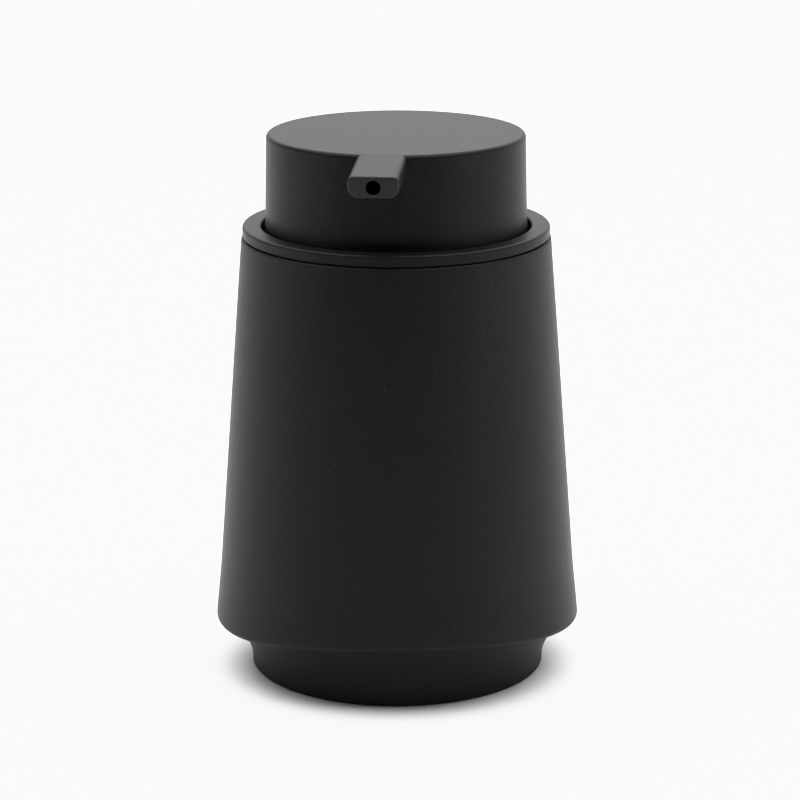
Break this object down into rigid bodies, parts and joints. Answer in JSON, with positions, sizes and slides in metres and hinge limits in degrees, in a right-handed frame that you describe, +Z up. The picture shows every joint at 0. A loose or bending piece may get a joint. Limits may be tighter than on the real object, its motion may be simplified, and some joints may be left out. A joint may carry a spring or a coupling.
{
  "type": "soap dispenser",
  "caption": "Round counter-top soap dispenser with a tapered vessel on a recessed foot, a push-fit lid and a flat press-down pump head with a short spout.",
  "frame": {"origin": "centre of the base pad's underside, on the dispenser's turning axis, where it stands on the counter", "axes": "+Z up along the turning axis; -Y is where the spout points; +X is to the right seen from the spout's side"},
  "size_m": [0.086, 0.089, 0.1275],
  "materials": {
    "soft_touch_vessel": "matte black soft-touch coat on stoneware",
    "soft_touch_lid": "matte black soft-touch coat on moulded plastic",
    "black_plastic": "black moulded plastic",
    "black_rubber": "black silicone rubber",
    "natural_plastic": "uncoloured moulded plastic",
    "soft_plastic": "soft uncoloured plastic",
    "steel": "bright stainless steel"
  },
  "bodies": {
    "vessel": {"vessel_body": "soft_touch_vessel", "base_pad": "black_rubber"},
    "lid": {"collar_ring": "soft_touch_lid", "well_insert": "black_plastic", "mouth_seal": "black_rubber", "pump_housing": "natural_plastic", "housing_gasket": "black_rubber", "closure_nut": "black_plastic", "stem_guide": "natural_plastic", "stem_wiper": "black_rubber", "ball_cage": "natural_plastic", "dip_tube": "soft_plastic", "return_spring": "steel"},
    "piston": {"piston_seal": "soft_plastic"},
    "head": {"stem": "natural_plastic", "piston_rod": "natural_plastic", "head_cap": "soft_touch_lid", "outlet_core": "natural_plastic"},
    "inlet_ball": {"inlet_ball": "steel"},
    "outlet_ball": {"outlet_ball": "steel"}
  },
  "joints": [
    {"name": "refill_lift", "type": "slide", "parent": "vessel", "child": "lid", "axis": [0, 0, 1], "range_m": [0, 0.1]},
    {"name": "press", "type": "slide", "parent": "lid", "child": "piston", "axis": [0, 0, -1], "range_m": [0, 0.012], "stiffness_N_per_m": 500, "springref_m": -0.008, "deforming": ["return_spring"]},
    {"name": "swivel", "type": "hinge", "parent": "piston", "child": "head", "pos_m": [0, 0, 0.0829], "axis": [0, 0, 1], "continuous": true},
    {"name": "inlet_valve", "type": "slide", "parent": "lid", "child": "inlet_ball", "axis": [0, 0, 1], "range_m": [0, 0.0012]},
    {"name": "outlet_valve", "type": "slide", "parent": "head", "child": "outlet_ball", "axis": [0, 0, 1], "range_m": [0, 0.0012]}
  ]
}
